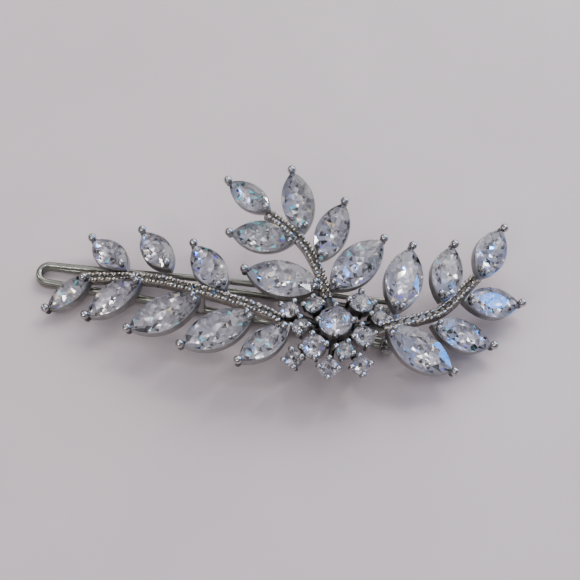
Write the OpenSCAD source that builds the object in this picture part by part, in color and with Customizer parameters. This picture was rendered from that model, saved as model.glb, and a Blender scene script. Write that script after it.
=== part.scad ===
// Hair clip: a jewelled leaf spray on a hinged spring-wire clip.
// Millimetres, +Z up, X along the clip, -Y is the front edge of the spray.
// The origin is the middle of the base, on the surface that the closed clip rests on.

/* [Spray] */
// Height of the stones' girdles over the middle of the spray
spray_h = 9; // [8.6:0.1:11]
// Radius of the arch that the spray follows along X
arch_r = 125; // [110:5:200]
// How much more the left leaves lean outwards than the arch does
left_lean = 1.3; // [1:0.1:1.6]
// How much more the right leaves lean outwards than the arch does
right_lean = 1.8; // [1.6:0.1:2.2]
// Slope of the back branch, in degrees, rising away from the front
lift_deg = 15; // [5:1:20]

/* [Leaf stones] */
// Length of a small marquise stone
small_l = 8; // [7.5:0.1:8.2]
// Length of a slim marquise stone
slim_l = 9; // [8.6:0.1:9.2]
// Length of a medium marquise stone
medium_l = 10; // [9:0.1:10.2]
// Length of a large marquise stone
large_l = 12; // [11:0.1:12.2]
// Thickness of a leaf cup's wall
cup_wall = 0.35; // [0.3:0.05:0.4]

/* [Stems] */
// Width of a stem
stem_w = 1.6; // [1.4:0.1:1.8]
// Height of a stem
stem_t = 1.5; // [1.4:0.1:2]
// Diameter of one pave stone
pave_d = 1.15; // [1:0.05:1.2]
// Distance between pave stones along a stem
pave_pitch = 1.3; // [1.25:0.05:1.6]

/* [Clip] */
// Diameter of the clip's wire
wire_d = 1.1; // [1:0.05:1.2]
// Height that the upper wire bows up over its ends
bow = 1; // [0.8:0.1:1.2]
// Diameter of the hinge pin
pin_d = 1.1; // [1:0.05:1.2]
// Radial clearance of the hinge barrel on its pin
pin_gap = 0.05; // [0.02:0.01:0.1]
// Gap between the closed tongue and the upper wire at the nose
nose_gap = 0.1; // [0.05:0.05:0.3]

/* [Hidden] */
$fn = 48;

// Where the middle of the base lies in the spray's own layout
layout_x = -2.2;
layout_y = 0;

// Marquise stones and their cups: [length, width, cup depth, reach of the tip prong]
SMALL = [small_l, small_l / 2, 1.2, 0.7];
SLIM = [slim_l, slim_l / 2, 1.6, 0.9];
MEDIUM = [medium_l, medium_l / 2, 1.7, 0.7];
LARGE = [large_l, large_l / 2, 1.8, 0.55];

// Leaves: [x, y, heading, forward pitch, stone, length of the stub to the stem]
left_leaves = [
  [-36.3, -7.2, 219, 8, SMALL, 0.6],
  [-31, 0.5, 141, -6, SLIM, 1.6],
  [-23, 1.5, 132, -6, SLIM, 2.2],
  [-13.5, -0.7, 130, -4, MEDIUM, 1.2],
  [-28.2, -7.8, 221, 6, MEDIUM, 0.6],
  [-19, -10.3, 210, 10, LARGE, 1.4],
  [-9.6, -12.3, 212, 10, LARGE, 1.4],
  [-1.6, -13.5, 230, 2, SLIM, 0]
];
top_leaves = [
  [-9.2, 12, 150, 12, SMALL, 0.8],
  [-1, 12.2, 111, 14, MEDIUM, 0.8],
  [-5.6, 5.6, 182, 16, MEDIUM, 1.4],
  [5.5, 8.2, 80, 12, MEDIUM, 1],
  [-1, -1, 176, 6, LARGE, 0.8],
  [10.6, 3.7, 59, 6, LARGE, 0.8]
];
right_leaves = [
  [18.6, 3, 88, 0, LARGE, 1.6],
  [25.4, 5.8, 88, 0, MEDIUM, 0.8],
  [32, 11.2, 76, 0, MEDIUM, 0.6],
  [33.5, 3.3, 22, 0, MEDIUM, 1.6],
  [29.5, -4, 3, 6, MEDIUM, 2.2],
  [23.2, -8.9, 345, 12, LARGE, 1.8]
];

// Round stones of the flower: [x, y, drop below the arch, diameter, outward tilt, prong turn]
blossoms = [
  [8.9, -7.2, 0, 5.3, 0, 55],
  [12.4, -2.6, 0.2, 3.8, 16, 55],
  [15.8, -4.5, 0.4, 2.7, 18, 50],
  [13.9, -8.7, 0.2, 3.3, 14, 70],
  [11.3, -12, 0.4, 2.6, 16, 35],
  [6.3, -12.5, 0.2, 3.7, 14, 60],
  [3.4, -9.2, 0.4, 2.6, 14, 50],
  [4.8, -4.9, 0.2, 2.7, 14, 55],
  [1.1, -6.4, 0.5, 2.8, 12, 20],
  [3.4, -15.2, 0.8, 2.6, 24, 60],
  [9.3, -15.6, 0.8, 2.8, 26, 50],
  [14.3, -13.9, 0.8, 2.8, 26, 70]
];

// Stem routes: [x, y, drop below the arch], bare ends dip under the flower
left_route = [[-34, -4.3, 0], [-27, -4, 0], [-21, -4.2, 0], [-15, -5.2, 0],
  [-9.5, -6.2, 0], [-4, -7.4, 0], [0.3, -8.6, 0.9], [2.1, -8.5, 2.3], [6.8, -8, 2.3]];
top_route = [[-5.5, 9.5, 0], [-2, 7.6, 0], [1, 5.6, 0], [3, 3.5, 0],
  [4.8, 1, 0], [6.2, -1.8, 0.6], [7.8, -5.4, 1.8]];
right_route = [[30.2, 6.6, 0], [29, 4.7, 0], [27, 1.5, 0], [25, -1, 0],
  [22, -3.2, 0], [19, -5, 0], [17.2, -5.9, 1], [15.4, -6.4, 2.2], [11.2, -7.2, 2.2]];
left_pave_len = 31;
top_pave_len = 15.5;
right_pave_len = 17;

// Clip layout
wire_r = wire_d / 2;
tongue_z = wire_r;
frame_nose_z = wire_d + nose_gap + wire_r;
nose_x = -41;
nose_y = -2.9;
nose_r = 1.7;
hinge_x = 17.5;
lug_r = 1.3;
hinge_z = lug_r;
barrel_r = 1.1;
rear_y = 2.5;
front_y = -6.2;
lug_w = 1.2;
tongue_rear_y = 1.1;
tongue_front_y = -4.8;
side_gap = 0.1;
pin_head_r = 0.9;
pin_head_t = 0.5;
bow_x = -8;

// Post feet on the upper wire: [x, y, height of the top]
posts = [[-14, -5.4, 6.9], [4.8, 1.6, 7.8], [12, -6.3, 5.9]];

function arch_z(x) = spray_h - arch_r + sqrt(arch_r * arch_r - x * x);
function lift(y) = max(0, y) * tan(lift_deg);
function lean(x) = (x < 0 ? left_lean : right_lean) * asin(x / arch_r);
function lens_r(a, b) = (a * a + b * b) / (2 * b);

// Points along a smooth curve through the points p, n to each span
function spline_pt(p0, p1, p2, p3, t) =
  0.5 * (2 * p1 + (p2 - p0) * t + (2 * p0 - 5 * p1 + 4 * p2 - p3) * t * t
  + (3 * p1 - p0 - 3 * p2 + p3) * t * t * t);
function smooth(p, n) = [
  for (i = [0 : len(p) - 2])
    for (j = [0 : n - 1])
      spline_pt(p[max(i - 1, 0)], p[i], p[i + 1], p[min(i + 2, len(p) - 1)], j / n),
  p[len(p) - 1]
];
function on_arch(p) = [p[0], p[1], arch_z(p[0]) + lift(p[1]) - p[2]];
function unit(v) = v / norm(v);
function along(p, i) = unit(p[min(i + 1, len(p) - 1)] - p[max(i - 1, 0)]);

// Faces of a tube with rings of k points, closed at both ends
function tube_faces(rings, k) = concat(
  [[for (j = [0 : k - 1]) j]],
  [for (i = [0 : rings - 2]) for (j = [0 : k - 1])
    [i * k + j, (i + 1) * k + j, (i + 1) * k + (j + 1) % k]],
  [for (i = [0 : rings - 2]) for (j = [0 : k - 1])
    [i * k + j, (i + 1) * k + (j + 1) % k, i * k + (j + 1) % k]],
  [[for (j = [k - 1 : -1 : 0]) (rings - 1) * k + j]]
);

// Bar of width w and height t under the points p, for the stems
module bar(p, w, t) {
  corners = [[w / 2, 0], [w / 2, -t], [-w / 2, -t], [-w / 2, 0]];
  points = [
    for (i = [0 : len(p) - 1])
      let (d = along(p, i), s = unit([d[1], -d[0], 0]))
        for (c = corners) p[i] + s * c[0] + [0, 0, c[1]]
  ];
  polyhedron(points, tube_faces(len(p), len(corners)), convexity = 6);
}

// Round wire of radius r along the points p
module wire(p, r, k = 12) {
  points = [
    for (i = [0 : len(p) - 1])
      let (d = along(p, i), s = unit(cross(d, [0, 0, 1])), u = cross(s, d))
        for (j = [0 : k - 1]) p[i] + r * (cos(360 * j / k) * s - sin(360 * j / k) * u)
  ];
  polyhedron(points, tube_faces(len(p), k), convexity = 6);
}

// Pointed oval of half length a and half width b, h tall
module lens(a, b, h) {
  r = lens_r(a, b);
  intersection() {
    translate([0, r - b, 0]) cylinder(r = r, h = h, $fn = 160);
    translate([0, b - r, 0]) cylinder(r = r, h = h, $fn = 160);
  }
}

// Cut stone on a closed outline: table, crown, girdle band and pavilion to a culet
module cut_stone(outline, table, crown, pavilion, girdle) {
  n = len(outline);
  ring = function (s, z) [for (p = outline) [p[0] * s, p[1] * s, z]];
  points = concat(ring(table, crown), ring(1, girdle), ring(1, -girdle), [[0, 0, -pavilion]]);
  band = function (a, b) [for (i = [0 : n - 1]) [a + i, b + i, b + (i + 1) % n, a + (i + 1) % n]];
  culet = [for (i = [0 : n - 1]) [2 * n + i, 3 * n, 2 * n + (i + 1) % n]];
  polyhedron(points, concat([[for (i = [0 : n - 1]) i]], band(0, n), band(n, 2 * n), culet));
}

function lens_side(a, b, n) = [
  for (i = [0 : n])
    let (x = -a + 2 * a * i / n, r = lens_r(a, b)) [x, sqrt(r * r - x * x) - r + b]
];
function lens_outline(a, b, n) =
  let (side = lens_side(a, b, n))
    concat([for (i = [0 : n]) side[i]], [for (i = [n - 1 : -1 : 1]) [side[i][0], -side[i][1]]]);
function round_outline(r, n) = [for (i = [0 : n - 1]) r * [cos(-360 * i / n), sin(-360 * i / n)]];

module at_leaf(leaf) {
  translate([leaf[0], leaf[1], arch_z(leaf[0]) + lift(leaf[1])])
    rotate([leaf[3], lean(leaf[0]), 0])
      rotate([0, 0, leaf[2]])
        children();
}

module at_blossom(b) {
  centre = blossoms[0];
  away = atan2(b[1] - centre[1], b[0] - centre[0]);
  translate([b[0], b[1], arch_z(b[0]) - b[2]])
    rotate([0, 0, away])
      rotate([0, b[4], 0])
        rotate([0, 0, b[5] - away])
          children();
}

// Marquise stone, a hair smaller than its cup
module leaf_stone(leaf) {
  a = leaf[4][0] / 2;
  b = leaf[4][1] / 2;
  color("lightcyan")
    at_leaf(leaf)
      cut_stone(lens_outline(a, b, 6), 0.58, 0.3 + b * 0.2, leaf[4][2] - 0.2, 0.1);
}

// Cup, end prongs and stub of one leaf
module leaf_cup(leaf) {
  a = leaf[4][0] / 2;
  b = leaf[4][1] / 2;
  depth = leaf[4][2];
  reach = leaf[4][3];
  floor_t = 0.4;
  seat = 0.03;
  at_leaf(leaf) {
    difference() {
      translate([0, 0, -depth]) lens(a + 2 * cup_wall, b + cup_wall, depth + 0.15);
      translate([0, 0, floor_t - depth]) lens(a + seat, b + seat, depth + 1);
      translate([0, 0, -depth - 1]) lens(a * 0.6, b * 0.6, depth + 1);
    }
    translate([a + reach, 0, -depth]) cylinder(r = 0.42, h = depth + 0.5);
    translate([a + reach, 0, 0.5]) sphere(r = 0.66);
    translate([a - 0.1, -0.3, -depth]) cube([reach, 0.6, depth + 0.1]);
    translate([-a - 0.35, 0, -depth]) cylinder(r = 0.4, h = depth + 0.3);
    translate([-a - 0.35, 0, 0.35]) sphere(r = 0.55);
    translate([-a - leaf[5] - 0.7, -0.55, -depth - 0.6]) cube([leaf[5] + 0.8, 1.1, depth - 0.2]);
  }
}

module round_stone(b) {
  r = b[3] / 2;
  color("lightcyan")
    at_blossom(b)
      cut_stone(round_outline(r, 16), 0.58, 0.2 + r * 0.25, 0.5 + r * 0.5, 0.08);
}

// Collet with four prongs, and the arm that ties it to the middle of the flower
module collet(b) {
  r = b[3] / 2;
  depth = 0.9 + r * 0.5;
  wall = 0.3;
  bead_r = 0.4 + r * 0.04;
  at_blossom(b) {
    difference() {
      translate([0, 0, -depth]) cylinder(r = r + wall, h = depth + 0.05);
      translate([0, 0, 0.3 - depth]) cylinder(r = r + 0.03, h = depth);
      translate([0, 0, -depth - 1]) cylinder(r = r * 0.6, h = depth);
    }
    for (turn = [0 : 90 : 270])
      rotate([0, 0, turn + 45])
        translate([r + wall, 0, 0]) {
          translate([0, 0, -depth]) cylinder(r = 0.28, h = depth + 0.2);
          translate([0, 0, 0.2]) sphere(r = bead_r);
        }
  }
}

module arm(b) {
  centre = blossoms[0];
  low = 1.3;
  from = [centre[0], centre[1], arch_z(centre[0]) - 2.6];
  to = [b[0], b[1], arch_z(b[0]) - b[2] - low];
  span = to - from;
  flat = norm([span[0], span[1]]);
  translate(from)
    rotate([0, 0, atan2(span[1], span[0])])
      rotate([0, -atan2(span[2], flat), 0])
        translate([0, -0.5, -0.5])
          cube([norm(span) - b[3] * 0.35, 1, 1]);
}

module branch(leaves, route) {
  color("silver") {
    for (leaf = leaves) leaf_cup(leaf);
    bar(smooth([for (p = route) on_arch(p)], 3), stem_w, stem_t);
  }
}

module flower_head() {
  color("silver") {
    for (b = blossoms) collet(b);
    for (i = [1 : len(blossoms) - 1]) arm(blossoms[i]);
    translate([blossoms[0][0], blossoms[0][1], arch_z(blossoms[0][0]) - 3.2])
      cylinder(r = 3.2, h = 1.2);
  }
}

// Row of small stones along the first part of a stem
module pave(route, row_len) {
  p = smooth([for (q = route) on_arch(q)], 12);
  s = [for (i = 0, d = 0; i < len(p); d = d + norm(p[min(i + 1, len(p) - 1)] - p[i]), i = i + 1) d];
  color("lightcyan")
    for (d = [pave_pitch / 2 : pave_pitch : row_len]) {
      i = len([for (x = s) if (x <= d) x]) - 1;
      t = (d - s[i]) / (s[i + 1] - s[i]);
      q = p[i] * (1 - t) + p[i + 1] * t;
      slope = along(p, i);
      translate(q + [0, 0, 0.02])
        rotate([0, 0, atan2(slope[1], slope[0])])
          rotate([0, -asin(slope[2]), 0])
            cut_stone(round_outline(pave_d / 2, 8), 0.6, 0.28, 0.32, 0.04);
    }
}

function bowed(x, z0, z1) =
  let (t = (x - nose_x) / (hinge_x - nose_x), s = (x - bow_x) / (x < bow_x ? bow_x - nose_x : hinge_x - bow_x))
    z0 + (z1 - z0) * t + bow * pow(1 - s * s, 2);

// U-shaped route round the nose, from the rear end to the front end
function loop_xy(ry, fy, end_x) = concat(
  [for (i = [0 : 13]) let (t = i / 14) [end_x + (nose_x - end_x) * t, ry + (nose_y + nose_r - ry) * t]],
  [for (w = [90 : 22.5 : 270]) [nose_x + nose_r * cos(w), nose_y + nose_r * sin(w)]],
  [for (i = [13 : -1 : 0]) let (t = i / 14) [end_x + (nose_x - end_x) * t, fy + (nose_y - nose_r - fy) * t]]
);

module frame_wire() {
  color("silver")
    wire([for (p = loop_xy(rear_y, front_y, hinge_x - 0.6))
      [p[0], p[1], p[0] < nose_x ? frame_nose_z : bowed(p[0], frame_nose_z, hinge_z)]], wire_r);
}

module tongue_wire() {
  color("silver")
    wire([for (p = loop_xy(tongue_rear_y, tongue_front_y, hinge_x - 0.7)) [p[0], p[1], tongue_z]], wire_r);
}

module barrel_tube(y0, y1, r_out, r_in) {
  translate([hinge_x, y1, hinge_z])
    rotate([90, 0, 0])
      difference() {
        cylinder(r = r_out, h = y1 - y0);
        translate([0, 0, -1]) cylinder(r = r_in, h = y1 - y0 + 2);
      }
}

module rear_lug() {
  color("gainsboro") barrel_tube(rear_y - lug_w / 2, rear_y + lug_w / 2, lug_r, pin_d / 2 + 0.02);
}

module front_lug() {
  color("gainsboro") barrel_tube(front_y - lug_w / 2, front_y + lug_w / 2, lug_r, pin_d / 2 + 0.02);
}

module hinge_barrel() {
  color("silver")
    barrel_tube(front_y + lug_w / 2 + side_gap, rear_y - lug_w / 2 - side_gap, barrel_r, pin_d / 2 + pin_gap);
}

module hinge_pin() {
  y0 = front_y - lug_w / 2;
  y1 = rear_y + lug_w / 2;
  color("gainsboro")
    translate([hinge_x, y1 + pin_head_t, hinge_z])
      rotate([90, 0, 0]) {
        cylinder(r = pin_d / 2, h = y1 - y0 + 2 * pin_head_t);
        cylinder(r = pin_head_r, h = pin_head_t);
        translate([0, 0, y1 - y0 + pin_head_t]) cylinder(r = pin_head_r, h = pin_head_t);
      }
}

module solder_posts() {
  color("gainsboro")
    for (p = posts) {
      foot = bowed(p[0], frame_nose_z, hinge_z);
      translate([p[0], p[1], foot]) cylinder(r = 0.8, h = p[2] - foot);
    }
}

module placed() {
  translate([-layout_x, -layout_y, 0]) children();
}

placed() branch(left_leaves, left_route);  // left_branch
placed() branch(top_leaves, top_route);  // top_branch
placed() branch(right_leaves, right_route);  // right_branch
placed() flower_head();
for (i = [0 : len(left_leaves) - 1])
  placed() leaf_stone(left_leaves[i]);
for (i = [0 : len(top_leaves) - 1])
  placed() leaf_stone(top_leaves[i]);
for (i = [0 : len(right_leaves) - 1])
  placed() leaf_stone(right_leaves[i]);
for (i = [0 : len(blossoms) - 1])
  placed() round_stone(blossoms[i]);
placed() pave(left_route, left_pave_len);  // left_pave_stones
placed() pave(top_route, top_pave_len);  // top_pave_stones
placed() pave(right_route, right_pave_len);  // right_pave_stones
placed() solder_posts();
placed() frame_wire();
placed() rear_lug();
placed() front_lug();
placed() hinge_pin();
placed() hinge_barrel();
placed() tongue_wire();
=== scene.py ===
"""Looks for the jewelled hair clip: cut stones, cast cups and stems, prongs and wires."""

import math
import random

import bmesh
import bpy
import numpy as np
from mathutils import Matrix, Vector
from mathutils.geometry import delaunay_2d_cdt


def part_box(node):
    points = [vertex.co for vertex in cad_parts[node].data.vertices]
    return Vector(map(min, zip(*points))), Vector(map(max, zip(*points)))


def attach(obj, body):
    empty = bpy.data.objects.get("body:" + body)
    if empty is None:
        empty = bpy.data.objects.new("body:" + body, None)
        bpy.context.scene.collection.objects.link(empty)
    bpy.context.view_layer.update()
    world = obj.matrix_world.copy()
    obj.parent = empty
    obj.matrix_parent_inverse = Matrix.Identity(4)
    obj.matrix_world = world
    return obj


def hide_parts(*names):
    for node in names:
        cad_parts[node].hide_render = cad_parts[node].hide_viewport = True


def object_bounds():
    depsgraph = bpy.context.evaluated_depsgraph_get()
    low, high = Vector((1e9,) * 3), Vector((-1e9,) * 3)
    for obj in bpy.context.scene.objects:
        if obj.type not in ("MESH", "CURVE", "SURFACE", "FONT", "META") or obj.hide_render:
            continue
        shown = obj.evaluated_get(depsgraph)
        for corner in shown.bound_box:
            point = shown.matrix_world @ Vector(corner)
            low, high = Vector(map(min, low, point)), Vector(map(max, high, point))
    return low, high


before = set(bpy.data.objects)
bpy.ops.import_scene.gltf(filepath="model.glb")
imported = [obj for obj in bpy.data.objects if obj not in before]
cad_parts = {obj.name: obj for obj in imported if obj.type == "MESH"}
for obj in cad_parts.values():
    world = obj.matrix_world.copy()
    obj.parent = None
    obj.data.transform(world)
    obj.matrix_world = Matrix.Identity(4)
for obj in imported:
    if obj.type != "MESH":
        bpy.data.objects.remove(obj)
cad_low, cad_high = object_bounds()

MM = 0.001
SPRAY = "spray_and_frame"
TONGUE = "tongue"
# Leaves on each branch, and round stones in the flower
BRANCHES = {"left": 8, "top": 6, "right": 6}
FLOWER_COUNT = 12
rng = random.Random(11)


# ---------------------------------------------------------------- camera
AZIMUTH = math.radians(11)
ELEVATION = math.radians(58)
DISTANCE = 0.3
# Width that the picture takes in at the target
VIEW_WIDTH = 0.0967
SENSOR = 36
TARGET = Vector((0.0022, 0, 0.004))

# Direction from the target to the camera
back = Vector(
    (
        math.sin(AZIMUTH) * math.cos(ELEVATION),
        -math.cos(AZIMUTH) * math.cos(ELEVATION),
        math.sin(ELEVATION),
    )
)
camera = bpy.data.objects.new("camera", bpy.data.cameras.new("camera"))
bpy.context.scene.collection.objects.link(camera)
camera.location = TARGET + back * DISTANCE
camera.rotation_mode = "QUATERNION"
camera.rotation_quaternion = (-back).to_track_quat("-Z", "Y")
camera.data.sensor_width = SENSOR
camera.data.lens = SENSOR / 2 / (VIEW_WIDTH / 2 / DISTANCE)
camera.data.clip_start = 0.01
camera.data.clip_end = 10
bpy.context.scene.camera = camera


# ---------------------------------------------------------------- materials
# The part of a noise factor that is put to use
NOISE_LOW = 0.3
NOISE_HIGH = 0.7
BUMP_DISTANCE = 0.03 * MM


def new_material(name):
    mat = bpy.data.materials.new(name)
    mat.use_nodes = True
    tree = mat.node_tree
    tree.nodes.clear()
    out = tree.nodes.new("ShaderNodeOutputMaterial")
    shader = tree.nodes.new("ShaderNodeBsdfPrincipled")
    tree.links.new(shader.outputs["BSDF"], out.inputs["Surface"])
    return mat, tree, shader


def noise(tree, scale, detail=3, rough=0.5):
    """Noise factor over the object's own coordinates."""
    coords = tree.nodes.new("ShaderNodeTexCoord")
    tex = tree.nodes.new("ShaderNodeTexNoise")
    tex.inputs["Scale"].default_value = scale
    tex.inputs["Detail"].default_value = detail
    tex.inputs["Roughness"].default_value = rough
    tree.links.new(coords.outputs["Object"], tex.inputs["Vector"])
    return tex.outputs["Fac"]


def ramp(tree, factor, low, high):
    """Colour that runs from low to high over the middle of a noise factor."""
    node = tree.nodes.new("ShaderNodeValToRGB")
    node.color_ramp.elements[0].position = NOISE_LOW
    node.color_ramp.elements[1].position = NOISE_HIGH
    node.color_ramp.elements[0].color = (*low, 1)
    node.color_ramp.elements[1].color = (*high, 1)
    tree.links.new(factor, node.inputs["Fac"])
    return node.outputs["Color"]


def span(tree, factor, low, high):
    """Number that runs from low to high over the middle of a noise factor."""
    node = tree.nodes.new("ShaderNodeMapRange")
    node.inputs["From Min"].default_value = NOISE_LOW
    node.inputs["From Max"].default_value = NOISE_HIGH
    node.inputs["To Min"].default_value = low
    node.inputs["To Max"].default_value = high
    tree.links.new(factor, node.inputs["Value"])
    return node.outputs["Result"]


def bump(tree, shader, height, strength):
    node = tree.nodes.new("ShaderNodeBump")
    node.inputs["Strength"].default_value = strength
    node.inputs["Distance"].default_value = BUMP_DISTANCE
    tree.links.new(height, node.inputs["Height"])
    tree.links.new(node.outputs["Normal"], shader.inputs["Normal"])


def plated(name, dark, light, rough, patch, grain, strength):
    """Plated metal with blotches of tone and gloss and a fine casting grain in relief.

    patch and grain are the noise scales of the blotches and the grain, and strength is the
    depth of the relief.
    """
    mat, tree, shader = new_material(name)
    shader.inputs["Metallic"].default_value = 1
    tone = noise(tree, patch)
    fine = noise(tree, grain, 4, 0.6)
    tree.links.new(ramp(tree, tone, dark, light), shader.inputs["Base Color"])
    tree.links.new(span(tree, tone, *rough), shader.inputs["Roughness"])
    bump(tree, shader, fine, strength)
    return mat


def crystal_material(name, dark, light):
    """Clear stone with a thin, highly reflecting surface."""
    mat, tree, shader = new_material(name)
    tree.links.new(ramp(tree, noise(tree, 400), dark, light), shader.inputs["Base Color"])
    shader.inputs["Roughness"].default_value = 0.0
    shader.inputs["IOR"].default_value = 1.54
    shader.inputs["Transmission Weight"].default_value = 1
    shader.inputs["Coat Weight"].default_value = 0.1
    shader.inputs["Coat IOR"].default_value = 2.1
    shader.inputs["Coat Roughness"].default_value = 0.01
    return mat


def foil_material(name, dark, light, rough, metal, painted_glow):
    """Silvering on the underside of a stone's facets; the last argument is a painted glow that lifts
    the painted spectral flashes.
    """
    mat, tree, shader = new_material(name)
    shader.inputs["Metallic"].default_value = metal
    tone = ramp(tree, noise(tree, 900, 2), dark, light)
    tree.links.new(tone, shader.inputs["Base Color"])
    shader.inputs["Roughness"].default_value = rough
    # Painted glow: the coloured flash facets shine a little on their own
    if painted_glow:
        tree.links.new(tone, shader.inputs["Emission Color"])
        shader.inputs["Emission Strength"].default_value = painted_glow
    return mat


# Metals: dark and light tone, range of roughness, scales of blotches and grain, strength of grain
WALL = plated("satin_wall", (0.28, 0.275, 0.27), (0.4, 0.395, 0.39), (0.28, 0.42), 900, 9000, 0.25)
BEAD = plated("bright_bead", (0.38, 0.375, 0.37), (0.52, 0.515, 0.51), (0.03, 0.08), 1400, 7000, 0.03)
STEM = plated("stem_metal", (0.22, 0.2, 0.175), (0.34, 0.32, 0.285), (0.24, 0.38), 1500, 8000, 0.3)
GRAIN = plated("worn_grain", (0.34, 0.3, 0.25), (0.6, 0.57, 0.52), (0.03, 0.1), 1600, 7000, 0.05)
# Painted shade: near-black metal for the undercuts below prong balls, the stem tops between the small
# stones, and the rods and dome under the flower
PAINTED_SHADE = plated("painted_recess_shade", (0.06, 0.058, 0.056), (0.15, 0.145, 0.135), (0.3, 0.5), 2500, 9000, 0.3)
WIRE = plated("wire_metal", (0.25, 0.255, 0.22), (0.36, 0.365, 0.32), (0.2, 0.3), 300, 5000, 0.1)
PIN = plated("pin_metal", (0.42, 0.42, 0.41), (0.58, 0.58, 0.56), (0.18, 0.3), 600, 6000, 0.2)
CRYSTAL = crystal_material("clear_crystal", (0.97, 0.97, 1), (1, 1, 1))
PAVE = crystal_material("small_crystal", (0.97, 0.94, 0.9), (1, 1, 1))
# Underside facets: plain, pale, dark, mirror, and a few with painted spectral flashes of cyan, violet
# or gold, which glow faintly.
# Each has its dark and light tone, roughness, metallic share and strength of painted glow.
FOILS = [
    foil_material("foil_plain", (0.5, 0.475, 0.51), (0.64, 0.61, 0.65), 0.25, 0.4, 0),
    foil_material("foil_pale", (0.7, 0.67, 0.71), (0.88, 0.85, 0.89), 0.15, 0.5, 0),
    foil_material("foil_dark", (0.42, 0.4, 0.43), (0.54, 0.52, 0.55), 0.2, 0.5, 0),
    foil_material("foil_mirror", (0.95, 0.95, 0.97), (1, 1, 1), 0.03, 1, 0),
    foil_material("painted_cyan_flash", (0.1, 0.8, 0.95), (0.35, 1, 1), 0.2, 0.4, 0.22),
    foil_material("painted_violet_flash", (0.16, 0.1, 1), (0.35, 0.3, 1), 0.2, 0.4, 0.22),
    foil_material("painted_gold_flash", (1, 0.72, 0.4), (1, 0.92, 0.68), 0.2, 0.4, 0.3),
]
# How many facets of each kind there are, in proportion
FOIL_SHARES = [32, 14, 22, 30, 1.4, 0.9, 0.9]


# ---------------------------------------------------------------- mesh building
class Shape:
    """Collects closed parts, in millimetres, and makes one object of them."""

    def __init__(self):
        self.verts = []
        self.faces = []
        self.slots = []

    def add(self, part, matrix, slot=0):
        """Adds a part, which may bring a material number for each of its faces."""
        verts, faces, *own = part
        start = len(self.verts)
        self.verts += [matrix @ (Vector(v) * MM) for v in verts]
        self.faces += [[start + i for i in f] for f in faces]
        self.slots += own[0] if own else [slot] * len(faces)

    def build(self, name, materials, body, nodes, sharp=None):
        """Makes the object. With sharp, an angle in degrees, it is smooth up to that angle."""
        mesh = bpy.data.meshes.new(name)
        mesh.from_pydata(self.verts, [], self.faces)
        for mat in materials:
            mesh.materials.append(mat)
        mesh.polygons.foreach_set("material_index", self.slots)
        if sharp:
            mesh.shade_smooth()
            mesh.set_sharp_from_angle(angle=math.radians(sharp))
        mesh.update()
        piece = bpy.data.objects.new(name, mesh)
        bpy.context.scene.collection.objects.link(piece)
        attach(piece, body)
        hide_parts(*nodes)


def lens_point(a, b, turn):
    """Point on a pointed oval of half length a and half width b, a circle where they agree."""
    r = (a * a + b * b) / (2 * b)
    x = a * math.cos(turn)
    y = math.sqrt(max(r * r - x * x, 0)) - (r - b)
    return x, math.copysign(y, math.sin(turn))


def lens_share(a, b, x, y):
    """Size, as a share of the whole, of the similar lens that passes through a point."""
    c = (a * a - b * b) / (2 * b)
    y = abs(y)
    return (c * y + math.sqrt(c * c * y * y + a * a * (x * x + y * y))) / (a * a)


def shuffled_foil(faces):
    """Material numbers of the foil facets, drawn by the shares."""
    return [1 + rng.choices(range(len(FOILS)), FOIL_SHARES)[0] for _ in faces]


def crown_cut(a, b, height, girdle, mains):
    """Upper half of a cut stone: table, stars, bezels, girdle halves and the girdle's band.

    Also gives the number of the first point of the lower rim.
    """
    table = 0.56
    star = 0.78
    step = 2 * math.pi / mains
    star_z = girdle + (height - girdle) * (1 - (star * math.cos(step / 2) - table) / (1 - table))
    rim = 2 * mains

    def ring(scale, z, count, shift=0.0):
        return [
            (*lens_point(a * scale, b * scale, (k + shift) * 2 * math.pi / count), z)
            for k in range(count)
        ]

    verts = ring(table, height, mains) + ring(star, star_z, mains, 0.5)
    verts += ring(1, girdle, rim) + ring(1, -girdle, rim)
    s, g, h = mains, 2 * mains, 4 * mains
    faces = [list(range(mains))]
    for k in range(mains):
        n = (k + 1) % mains
        p = (k - 1) % mains
        g0, g1, g2 = 2 * k, 2 * k + 1, (2 * k + 2) % rim
        faces += [[k, s + k, n], [k, s + p, g + g0], [k, g + g0, s + k]]
        faces += [[s + k, g + g0, g + g1], [s + k, g + g1, g + g2]]
        faces += [[g + g0, h + g0, h + g1, g + g1], [g + g1, h + g1, h + g2, g + g2]]
    return verts, faces, h


def small_cut(radius, height, depth, girdle, mains, row):
    """Round stone with one ring of slightly uneven facets that run in to a culet."""
    verts, faces, h = crown_cut(radius, radius, height, girdle, mains)
    rim = 2 * mains
    low = h + rim
    culet = low + rim
    low_z = -girdle - (depth - girdle) * (1 - row**1.4)
    for k in range(rim):
        x, y = lens_point(radius * row, radius * row, (k + 0.5) * 2 * math.pi / rim)
        swell = rng.uniform(0.92, 1.06)
        verts.append((x * swell, y * swell, low_z * rng.uniform(0.9, 1.05)))
    verts.append((0, 0, -depth))
    under = []
    for k in range(rim):
        n = (k + 1) % rim
        under += [[low + k, h + n, h + k], [low + k, low + n, h + n]]
    under += [[culet, low + (k + 1) % rim, low + k] for k in range(rim)]
    return verts, faces + under, [0] * len(faces) + shuffled_foil(under)


# Grid of points for splintered facets: how far it reaches and how far a point strays, in steps
GRID_REACH = 14
STRAY = 0.32


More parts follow.
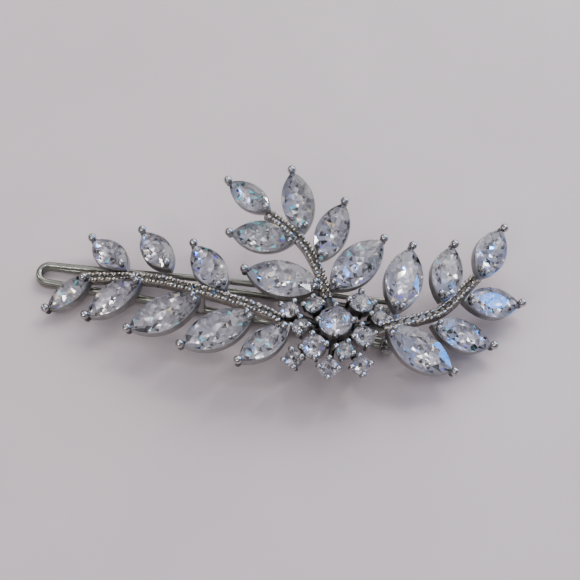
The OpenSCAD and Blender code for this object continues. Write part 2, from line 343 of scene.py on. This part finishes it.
def splinter_cut(a, b, height, depth, girdle, mains, pitch):
    """Cut stone whose underside is a bowl of small splintered facets."""
    verts, faces, h = crown_cut(a, b, height, girdle, mains)
    rim = 2 * mains
    flat = [Vector(v[:2]) for v in verts[h:]]
    deep = [-girdle] * rim
    for row in range(-GRID_REACH, GRID_REACH + 1):
        for column in range(-GRID_REACH, GRID_REACH + 1):
            x = (column + 0.5 * (row % 2) + rng.uniform(-STRAY, STRAY)) * pitch * 1.5
            y = (row + rng.uniform(-STRAY, STRAY)) * pitch * 0.85
            share = lens_share(a, b, x, y)
            tilt = rng.uniform(0.8, 1.05)
            if share < 0.9:
                flat.append(Vector((x, y)))
                deep.append(-girdle - (depth - girdle) * (1 - share**1.5) * tilt)
    edges = [(k, (k + 1) % rim) for k in range(rim)]
    found = delaunay_2d_cdt(flat, edges, [], 1, 1e-5)
    source = [origin[0] for origin in found[3]]
    verts = verts[:h] + [(*flat[k], deep[k]) for k in range(len(flat))]
    under = [[h + source[k] for k in reversed(face)] for face in found[2]]
    return verts, faces + under, [0] * len(faces) + shuffled_foil(under)


def loop_wall(a, b, profile, count):
    """Wall round a lens: profile is a closed list of (more length, more width, z)."""
    verts = []
    for dl, dw, z in profile:
        for k in range(count):
            verts.append((*lens_point(a + dl, b + dw, k * 2 * math.pi / count), z))
    rings = len(profile)
    faces = []
    for i in range(rings):
        j = (i + 1) % rings
        for k in range(count):
            n = (k + 1) % count
            faces.append([i * count + k, i * count + n, j * count + n, j * count + k])
    return verts, faces


def lathe(profile, count, stretch=1.0):
    """Solid turned from (radius, z) pairs, bottom to top, and stretched along x."""
    verts = [(0, 0, profile[0][1])]
    for r, z in profile:
        for k in range(count):
            turn = k * 2 * math.pi / count
            verts.append((r * math.cos(turn) * stretch, r * math.sin(turn), z))
    verts.append((0, 0, profile[-1][1]))
    top = len(verts) - 1
    faces = []
    for k in range(count):
        n = (k + 1) % count
        faces.append([0, 1 + n, 1 + k])
        for i in range(len(profile) - 1):
            low, high = 1 + i * count, 1 + (i + 1) * count
            faces.append([low + k, low + n, high + n, high + k])
        faces.append([top - count + k, top - count + n, top])
    return verts, faces


def bead_profile(radius, z, neck, foot):
    """Prong: a neck from foot up to a ball of that radius at height z."""
    start = math.asin(min(neck / radius, 0.95))
    steps = 9
    ball = []
    for i in range(steps):
        turn = math.pi - start - (math.pi - start) * i / steps
        ball.append((radius * math.sin(turn), z + radius * math.cos(turn)))
    ball.append((radius * 0.08, z + radius))
    return [(neck * 0.75, foot), (neck, foot + 0.3), *ball]


def swept_bar(points, ups, section):
    """Bar of a section (across, up) along points."""
    verts = []
    count = len(section)
    for i, p in enumerate(points):
        ahead = points[min(i + 1, len(points) - 1)] - points[max(i - 1, 0)]
        side = ahead.cross(ups[i]).normalized()
        up = side.cross(ahead).normalized()
        for across, high in section:
            verts.append(p + side * across * MM + up * high * MM)
    faces = [list(range(count)), [len(verts) - 1 - i for i in range(count)]]
    for i in range(len(points) - 1):
        for k in range(count):
            n = (k + 1) % count
            faces.append([i * count + k, (i + 1) * count + k, (i + 1) * count + n, i * count + n])
    return [v / MM for v in verts], faces


def tube(points, radius, count=24):
    """Round wire along points, with tapered ends."""
    tangents = []
    for i in range(len(points)):
        ahead = points[min(i + 1, len(points) - 1)] - points[max(i - 1, 0)]
        tangents.append(ahead.normalized())
    tangents = [tangents[0], *tangents, tangents[-1]]
    start = points[0] - tangents[0] * radius * 0.6
    end = points[-1] + tangents[-1] * radius * 0.6
    line = [start, *points, end]
    shares = [0.35, *[1.0] * len(points), 0.35]
    verts = []
    for p, tangent, share in zip(line, tangents, shares):
        side = tangent.cross(Vector((0, 0, 1))).normalized()
        up = side.cross(tangent)
        for k in range(count):
            turn = -k * 2 * math.pi / count
            verts.append(p + (side * math.cos(turn) + up * math.sin(turn)) * radius * share)
    total = len(line)
    faces = [list(range(count)), [total * count - 1 - k for k in range(count)]]
    for i in range(total - 1):
        for k in range(count):
            n = (k + 1) % count
            faces.append([i * count + k, (i + 1) * count + k, (i + 1) * count + n, i * count + n])
    return [v / MM for v in verts], faces


IDENTITY = Matrix.Identity(4)
METALS = [WALL, BEAD, STEM, PAINTED_SHADE, GRAIN]
WALL_SLOT, BEAD_SLOT, STEM_SLOT, PAINTED_SHADE_SLOT, GRAIN_SLOT = range(len(METALS))


def prong(radius, z, neck, foot, count=20, stretch=1.0, slot=BEAD_SLOT):
    """Bright ball on a neck, with painted shade on the undercut below the ball."""
    verts, faces = lathe(bead_profile(radius, z, neck, foot), count, stretch)
    slots = []
    for face in faces:
        middle_z = sum(verts[i][2] for i in face) / len(face)
        # Faces below the ball's middle get the painted shade metal
        slots.append(slot if middle_z > z - radius * 0.6 else PAINTED_SHADE_SLOT)
    return verts, faces, slots


def shifted(place, x, y=0.0, z=0.0):
    """A place moved by millimetres in its own axes."""
    return place @ Matrix.Translation(Vector((x, y, z)) * MM)


# ---------------------------------------------------------------- places from the CAD
def node_islands(node):
    """Points of each separate solid in a CAD node."""
    work = bmesh.new()
    work.from_mesh(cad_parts[node].data)
    bmesh.ops.remove_doubles(work, verts=work.verts, dist=1e-6)
    seen = set()
    islands = []
    for start in work.verts:
        if start in seen:
            continue
        stack = [start]
        seen.add(start)
        points = []
        while stack:
            vert = stack.pop()
            points.append(vert.co[:])
            for edge in vert.link_edges:
                other = edge.other_vert(vert)
                if other not in seen:
                    seen.add(other)
                    stack.append(other)
        islands.append(np.array(points))
    work.free()
    return islands


def stone_frame(points):
    """Centre of a cut stone's girdle, its long and up axes, half sizes and depth in mm."""
    spread = points - points.mean(0)
    vectors = np.linalg.eigh(spread.T @ spread)[1]
    up = vectors[:, 0]
    if up[2] < 0:
        up = -up
    long = vectors[:, 2]
    flat = spread - np.outer(spread @ up, up)
    reach = np.linalg.norm(flat, axis=1)
    # The points that reach furthest, within 0.01 mm, are on the girdle
    rim = points[reach > reach.max() - 1e-5]
    centre = rim.mean(0)
    wide = np.cross(up, long)
    a = np.abs((points - centre) @ long).max() / MM
    b = np.abs((points - centre) @ wide).max() / MM
    low = -((points - centre) @ up).min() / MM
    return Vector(centre), Vector(long), Vector(up), a, b, low


def basis(centre, long, up):
    """A place: x is along, y is across and z is up."""
    wide = up.cross(long).normalized()
    long = wide.cross(up)
    place = Matrix((long, wide, up)).transposed().to_4x4()
    place.translation = centre
    return place


flower = []
for i in range(FLOWER_COUNT):
    flower.append(stone_frame(node_islands(f"flower_stone_{i + 1}")[0]))
heart = flower[0][0]

# Small stones of each branch in order, from the far end towards the flower
pave = {}
for branch in BRANCHES:
    found = [stone_frame(p) for p in node_islands(f"{branch}_pave_stones")]
    found.sort(key=lambda s: -(s[0] - heart).length)
    chain = [found.pop(0)]
    while found:
        found.sort(key=lambda s: (s[0] - chain[-1][0]).length)
        chain.append(found.pop(0))
    pave[branch] = chain


# ---------------------------------------------------------------- leaves
# How far the tip prong stands past the stone, by the stone's length
REACH = {8: 0.7, 9: 0.9, 10: 0.7, 12: 0.55}
# Stones with a half length above this one have two prongs at the heel
TWIN_HEEL = 4.6
# Prongs: radius and height of the ball, radius of the neck; and the foot of the heel prongs
TIP_PRONG = (0.74, 0.42, 0.54)
TWIN_PRONG = (0.54, 0.68, 0.34)
HEEL_PRONG = (0.64, 0.76, 0.42)
HEEL_FOOT = -0.6


def cup_profile(depth, reach):
    """Straight satin wall, a thin lip beside the girdle, and a hollow for the stone."""
    out = reach - 0.1
    return [
        (out - 0.25, 0.08, -depth),
        (out - 0.1, 0.2, -depth + 0.12),
        (out, 0.26, -0.5),
        (out, 0.26, -0.2),
        (out - 0.06, 0.2, -0.12),
        (out - 0.2, 0.12, -0.1),
        (0.06, 0.03, -0.16),
        (-0.5, -0.5, -depth + 0.5),
        (-1.6, -0.95, -depth + 0.3),
        (-1.6, -0.95, -depth),
    ]


def leaf_place(branch, centre, long, up, a):
    """Axes of a leaf, with its tip away from the branch and the flower."""
    anchors = [p[0] for p in pave[branch]] + [heart]
    ends = [centre + long * a * MM, centre - long * a * MM]
    near = [min((e - p).length for p in anchors) for e in ends]
    if near[0] < near[1]:
        long = -long
    return basis(centre, long, up)


def add_leaf(casting, branch, number):
    """A stone as a piece of its own, with its cup and prongs on the casting."""
    node = f"{branch}_stone_{number}"
    centre, long, up, a, b, low = stone_frame(node_islands(node)[0])
    place = leaf_place(branch, centre, long, up, a)
    depth = max(low + 0.2, 1.5)
    reach = REACH[round(2 * a)]
    cut = splinter_cut(
        a + reach - 0.3,
        b + 0.18,
        height=0.3 + b * 0.12,
        depth=depth - 0.2,
        girdle=0.06,
        mains=10,
        pitch=0.62,
    )
    gem = Shape()
    gem.add(cut, place)
    gem.build(f"{branch}_gem_{number}", [CRYSTAL, *FOILS], SPRAY, [node])
    casting.add(loop_wall(a, b, cup_profile(depth, reach), 64), place, WALL_SLOT)
    casting.add(prong(*TIP_PRONG, -depth * 0.8), shifted(place, a + reach))
    if a > TWIN_HEEL:
        for side in (-0.5, 0.5):
            casting.add(prong(*TWIN_PRONG, HEEL_FOOT), shifted(place, 0.5 - a, side))
    else:
        casting.add(prong(*HEEL_PRONG, HEEL_FOOT, stretch=1.15), shifted(place, 0.4 - a))


# ---------------------------------------------------------------- stems
# Small stones that go on from the row, half hidden under the flower
MORE_PAVE = {"left": 3, "top": 2, "right": 2}
PAVE_PITCH = 1.3
SINK = 0.12
# How far the stem starts past its first small stone, how far it drops at each of its last two
# bends, and how far under the flower it ends
STEM_START = 0.9
STEM_DROP = 0.3
HUB_DEPTH = 2.6
# Grains: how far the rows go past the end stones, and how far from the middle line they are,
# in a gap and beside a stone
GRAIN_END = 0.65
GRAIN_ASIDE = (0.48, 0.62)
# Section of a stem: (across, up), with the flat top as its last side
STEM_SECTION = [
    (0.62, 0),
    (0.78, -0.12),
    (0.78, -1.25),
    (0.6, -1.5),
    (-0.6, -1.5),
    (-0.78, -1.25),
    (-0.78, -0.12),
    (-0.62, 0),
]


def lengthen_row(branch):
    """More small stones in line with the row, each a little lower than the last."""
    row = pave[branch]
    for step in range(MORE_PAVE[branch]):
        end, before = row[-1], row[-2]
        onward = (end[0] - before[0]).normalized() * PAVE_PITCH * MM
        sunk = Vector((0, 0, SINK * MM * step))
        row.append((end[0] + onward - sunk, *end[1:]))


def end_directions(line):
    """Directions in which a line leaves its first and its last point."""
    return (line[0] - line[1]).normalized(), (line[-1] - line[-2]).normalized()


def add_stem(casting, line, ups):
    """Bar under the row of small stones that runs on, sinking, to the flower's hub."""
    first, last = end_directions(line)
    route = [line[0] + first * STEM_START * MM, *line]
    route.append(line[-1] + last * PAVE_PITCH * MM - ups[-1] * STEM_DROP * MM)
    hub = heart - Vector((0, 0, HUB_DEPTH * MM))
    route.append(route[-1].lerp(hub, 0.45) - Vector((0, 0, STEM_DROP * MM)))
    route.append(hub)
    normals = [ups[0], *ups, ups[-1], ups[-1], ups[-1]]
    bar = swept_bar(route, normals, STEM_SECTION)
    # The flat top, seen in the gaps between the small stones, gets painted shade
    sides = [STEM_SLOT] * (len(STEM_SECTION) - 1) + [PAINTED_SHADE_SLOT]
    casting.add((*bar, [STEM_SLOT] * 2 + sides * (len(route) - 1)), IDENTITY)


def add_grains(casting, line, ups):
    """Uneven grains in two rows, beside each small stone and in each gap."""
    first, last = end_directions(line)
    row = [line[0] + first * GRAIN_END * MM, *line, line[-1] + last * GRAIN_END * MM]
    for i in range(2 * len(line) + 1):
        early, late = row[(i + 1) // 2], row[(i + 2) // 2]
        spot = early if i % 2 else (early + late) / 2
        up = ups[min(i // 2, len(line) - 1)]
        ahead = row[min(i // 2 + 2, len(row) - 1)] - row[i // 2]
        place = basis(spot, ahead.normalized(), up)
        for sign in (-1, 1):
            along = rng.uniform(-0.1, 0.1)
            aside = sign * GRAIN_ASIDE[i % 2] * rng.uniform(0.85, 1.08)
            radius = rng.uniform(0.33, 0.43)
            grain = prong(radius, z=0.1, neck=0.22, foot=-0.3, count=14, slot=GRAIN_SLOT)
            casting.add(grain, shifted(place, along, aside))


def add_pave(small, centre, long, up):
    """One small round stone at a random turn, a little raised."""
    turn = Matrix.Rotation(rng.uniform(0, 0.7), 4, "Z")
    place = shifted(basis(centre, long, up) @ turn, 0, 0, 0.1)
    cut = small_cut(radius=0.58, height=0.34, depth=0.4, girdle=0.04, mains=6, row=0.6)
    small.add(cut, place)


for branch, count in BRANCHES.items():
    casting = Shape()
    for i in range(count):
        add_leaf(casting, branch, i + 1)
    lengthen_row(branch)
    line = [s[0] for s in pave[branch]]
    ups = [s[2] for s in pave[branch]]
    add_stem(casting, line, ups)
    add_grains(casting, line, ups)
    casting.build(
        f"{branch}_casting", METALS, SPRAY, [f"{branch}_branch"], 38
    )
    small = Shape()
    for stone in pave[branch]:
        add_pave(small, *stone[:3])
    small.build(
        f"{branch}_pave", [PAVE, *FOILS], SPRAY, [f"{branch}_pave_stones"]
    )


# ---------------------------------------------------------------- flower
# Turn of each blossom's prongs, in degrees
TURNS = [55, 55, 50, 70, 35, 60, 50, 55, 20, 60, 50, 70]
# Solid under the middle of the flower, with painted shade: (radius, z)
DOME = [(2.6, -3.15), (3.1, -2.95), (3.15, -2.6), (2.7, -2.2), (1.2, -2.0)]


def collet_profile(r, depth):
    """Wall of a round cup, with a thin lip and a hollow for the stone."""
    return [
        (-0.3, -0.3, -depth),
        (-0.05, -0.05, -depth + 0.1),
        (0.18, 0.18, -0.4),
        (0.2, 0.2, -0.14),
        (0.15, 0.15, -0.08),
        (0.08, 0.08, -0.09),
        (0.03, 0.03, -0.15),
        (-0.35 * r, -0.35 * r, -depth + 0.35),
        (-0.4 * r, -0.4 * r, -depth),
    ]


def blossom_place(centre, up, turn):
    """Axes of a blossom: leaning outwards, with its prongs at the given turn."""
    away = math.atan2(up.y, up.x)
    tilt = math.acos(min(1, up.z))
    turned = Matrix.Rotation(away, 4, "Z") @ Matrix.Rotation(tilt, 4, "Y")
    turned = turned @ Matrix.Rotation(math.radians(turn) - away, 4, "Z")
    return Matrix.Translation(centre) @ turned


def add_arm(head, centre, up, depth):
    """Bent rod from under the middle of the flower to one collet, with painted shade."""
    start = heart - Vector((0, 0, 2.5 * MM))
    end = centre - up * depth * 0.8 * MM
    mid = start.lerp(end, 0.55) - Vector((0, 0, 0.25 * MM))
    bend = [start, start.lerp(mid, 0.5), mid, mid.lerp(end, 0.5), end]
    rod = tube(bend, radius=0.5 * MM, count=14)
    head.add(rod, IDENTITY, PAINTED_SHADE_SLOT)


def add_blossom(head, number):
    """A round stone as a piece of its own, with its collet and prongs on the flower head."""
    centre, _, up, r, _, low = flower[number]
    place = blossom_place(centre, up, TURNS[number])
    depth = 0.9 + r * 0.5
    cut = splinter_cut(
        r + 0.1,
        r + 0.1,
        height=0.2 + r * 0.27,
        depth=low,
        girdle=0.05,
        mains=8,
        pitch=0.34 + r * 0.06,
    )
    gem = Shape()
    gem.add(cut, place)
    gem.build(
        f"flower_gem_{number + 1}",
        [CRYSTAL, *FOILS],
        SPRAY,
        [f"flower_stone_{number + 1}"],
    )
    head.add(loop_wall(r, r, collet_profile(r, depth), 40), place, WALL_SLOT)
    for k in range(4):
        spin = place @ Matrix.Rotation(math.radians(90 * k + 45), 4, "Z")
        claw = prong(0.5 + r * 0.04, z=0.28, neck=0.32, foot=-depth)
        head.add(claw, shifted(spin, r + 0.2))
    if number:
        add_arm(head, centre, up, depth)


head = Shape()
for i in range(FLOWER_COUNT):
    add_blossom(head, i)
# The dome under the flower gets painted shade
head.add(lathe(DOME, 40), Matrix.Translation(heart), PAINTED_SHADE_SLOT)
head.build("flower_casting", METALS, SPRAY, ["flower_head"], 38)


# ---------------------------------------------------------------- wires
NOSE_Y = -2.9 * MM
NOSE_R = 1.7 * MM
# Height of the upper wire's bow over a straight line, and where it is highest
BOW = 1.0 * MM
BOW_X = -5.8 * MM
# Ends of the tongue's legs
REAR_LEG_Y = 1.1 * MM
FRONT_LEG_Y = -4.8 * MM
# How far short of the hinge's axis the upper wire and the tongue end
LUG_INSET = 0.6 * MM
BARREL_INSET = 0.7 * MM
tongue_low, tongue_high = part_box("tongue_wire")
wire_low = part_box("frame_wire")[0]
wire_r = (tongue_high.z - tongue_low.z) / 2
nose_x = tongue_low.x + wire_r + NOSE_R
nose_z = wire_low.z + wire_r


def middle(node):
    """Middle of a CAD node's box."""
    low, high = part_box(node)
    return (low + high) / 2


hinge = middle("hinge_barrel")
rear = middle("rear_lug")
front = middle("front_lug")


def loop_route(end_x, rear_y, front_y, height):
    """Hairpin route from the rear end round the nose, where it is level, to the front end."""
    steps = 40
    turns = 24
    rear_nose = NOSE_Y + NOSE_R
    front_nose = NOSE_Y - NOSE_R
    rear_leg = []
    front_leg = []
    for i in range(steps):
        t = i / steps
        x = end_x + (nose_x - end_x) * t
        rear_leg.append((x, rear_y + (rear_nose - rear_y) * t))
        front_leg.append((x, front_y + (front_nose - front_y) * t))
    bend = []
    for i in range(turns + 1):
        turn = math.radians(90 + 180 / turns * i)
        bend.append((nose_x + NOSE_R * math.cos(turn), NOSE_Y + NOSE_R * math.sin(turn)))
    points = rear_leg + bend + front_leg[::-1]
    return [Vector((x, y, height(max(x, nose_x)))) for x, y in points]


def bowed_height(x):
    """Height of the upper wire, which bows up between the nose and the hinge."""
    t = (x - nose_x) / (hinge.x - nose_x)
    s = (x - BOW_X) / ((BOW_X - nose_x) if x < BOW_X else (hinge.x - BOW_X))
    return nose_z + (hinge.z - nose_z) * t + BOW * (1 - s * s) ** 2


def level_height(x):
    """Height of the tongue, which lies flat."""
    return tongue_low.z + wire_r


upper = Shape()
upper_route = loop_route(rear.x - LUG_INSET, rear.y, front.y, bowed_height)
upper.add(tube(upper_route, wire_r), IDENTITY)
upper.build("upper_wire", [WIRE], SPRAY, ["frame_wire"], 40)

lower = Shape()
lower_route = loop_route(hinge.x - BARREL_INSET, REAR_LEG_Y, FRONT_LEG_Y, level_height)
lower.add(tube(lower_route, wire_r), IDENTITY)
lower.build("tongue_loop", [WIRE], TONGUE, ["tongue_wire"], 40)

# The small metal parts keep their CAD shape, with softened edges
for name in ("rear_lug", "front_lug", "hinge_pin", "hinge_barrel", "solder_posts"):
    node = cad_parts[name]
    node.data.materials.clear()
    node.data.materials.append(PIN)
    weld = node.modifiers.new("weld", "WELD")
    weld.merge_threshold = 0.002 * MM
    edge = node.modifiers.new("edge", "BEVEL")
    edge.width = 0.08 * MM
    edge.segments = 2
    edge.limit_method = "ANGLE"
    edge.angle_limit = math.radians(40)


# ---------------------------------------------------------------- floor, light
def floor_material():
    mat, tree, shader = new_material("pale_table")
    tone = noise(tree, 30, 3)
    fleck = noise(tree, 900, 2)
    colour = ramp(tree, tone, (0.595, 0.522, 0.54), (0.635, 0.562, 0.58))
    tree.links.new(colour, shader.inputs["Base Color"])
    tree.links.new(span(tree, fleck, 0.34, 0.42), shader.inputs["Roughness"])
    return mat


FLOOR_HALF = 1.5
FLOOR_Z = -0.02 * MM
floor_mesh = bpy.data.meshes.new("floor")
corners = [(x * FLOOR_HALF, y * FLOOR_HALF, 0) for x, y in ((-1, -1), (1, -1), (1, 1), (-1, 1))]
floor_mesh.from_pydata(corners, [], [(0, 1, 2, 3)])
floor_mesh.materials.append(floor_material())
floor = bpy.data.objects.new("floor", floor_mesh)
bpy.context.scene.collection.objects.link(floor)
floor.location.z = FLOOR_Z

# The floor stays just under the tongue's nose, so that it never hides an open tongue
under_nose = bpy.data.objects.new("under_nose", None)
bpy.context.scene.collection.objects.link(under_nose)
under_nose.location = (cad_low.x, NOSE_Y, FLOOR_Z)
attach(under_nose, TONGUE)
follow = floor.constraints.new("COPY_LOCATION")
follow.target = under_nose
follow.use_x = False
follow.use_y = False


def area_light(name, direction, distance, size, power, colour):
    """Lamp in a direction from the origin, which it faces."""
    data = bpy.data.lights.new(name, "AREA")
    data.shape = "RECTANGLE"
    data.size, data.size_y = size
    data.energy = power
    data.color = colour
    lamp = bpy.data.objects.new(name, data)
    bpy.context.scene.collection.objects.link(lamp)
    way = Vector(direction).normalized()
    lamp.location = way * distance
    lamp.rotation_mode = "QUATERNION"
    lamp.rotation_quaternion = (-way).to_track_quat("-Z", "Y")
    return lamp


# Main light from behind: one lamp lights the surfaces, the other gleams in them too
KEY_WAY = (0.25, 0.8, 0.6)
KEY_TINT = (1, 0.965, 0.94)
key = area_light("key", KEY_WAY, 1.1, (1.15, 0.8), 6.6, KEY_TINT)
key.visible_glossy = False
area_light("key_gleam", KEY_WAY, 1.05, (1.1, 0.75), 7, KEY_TINT)
# Blue daylight from the right: one lamp for the glints, one for the shade
WINDOW_WAY = (0.78, 0.52, 0.33)
window = area_light("window", WINDOW_WAY, 0.6, (0.22, 0.18), 2.6, (0.04, 0.3, 1))
window.visible_diffuse = False
sky = area_light("sky", WINDOW_WAY, 0.6, (0.28, 0.22), 1.1, (0.1, 0.36, 1))
sky.visible_glossy = False
area_light("overhead", (0.25, -0.2, 1), 0.8, (0.07, 0.07), 0.4, (0.95, 0.97, 1))
area_light("spot_left", (-0.7, 0.1, 0.7), 0.8, (0.05, 0.05), 0.6, (1, 1, 1))
area_light("spot_back", (0.35, 0.55, 0.76), 0.8, (0.05, 0.05), 0.6, (1, 0.97, 0.92))
area_light("spot_front", (-0.15, -0.75, 0.65), 0.8, (0.05, 0.05), 0.6, (0.96, 0.98, 1))
area_light("front", (-0.4, -1, 0.8), 1.0, (0.5, 0.3), 0.9, (1, 0.97, 0.95))


def studio_world():
    """Room that is dark below and pale above, a little uneven all round."""
    world = bpy.data.worlds.new("studio")
    bpy.context.scene.world = world
    world.use_nodes = True
    tree = world.node_tree
    tree.nodes.clear()
    out = tree.nodes.new("ShaderNodeOutputWorld")
    background = tree.nodes.new("ShaderNodeBackground")
    coords = tree.nodes.new("ShaderNodeTexCoord")
    split = tree.nodes.new("ShaderNodeSeparateXYZ")
    shade = tree.nodes.new("ShaderNodeValToRGB")
    tree.links.new(coords.outputs["Generated"], split.inputs["Vector"])
    tree.links.new(split.outputs["Z"], shade.inputs["Fac"])
    stops = shade.color_ramp
    stops.elements[0].position = 0.0
    stops.elements[0].color = (0.13, 0.13, 0.135, 1)
    stops.elements[1].position = 1.0
    stops.elements[1].color = (0.95, 0.93, 1, 1)
    for position, level in ((0.36, 0.19), (0.55, 0.56)):
        stop = stops.elements.new(position)
        stop.color = (level, level * 0.98, level * 1.06, 1)
    tree.links.new(shade.outputs["Color"], background.inputs["Color"])
    patches = tree.nodes.new("ShaderNodeTexNoise")
    patches.inputs["Scale"].default_value = 2.4
    patches.inputs["Detail"].default_value = 1
    tree.links.new(coords.outputs["Generated"], patches.inputs["Vector"])
    strength = tree.nodes.new("ShaderNodeMapRange")
    strength.inputs["From Min"].default_value = 0.42
    strength.inputs["From Max"].default_value = 0.58
    strength.inputs["To Min"].default_value = 0.5
    strength.inputs["To Max"].default_value = 1.15
    tree.links.new(patches.outputs["Fac"], strength.inputs["Value"])
    tree.links.new(strength.outputs["Result"], background.inputs["Strength"])
    tree.links.new(background.outputs["Background"], out.inputs["Surface"])


studio_world()
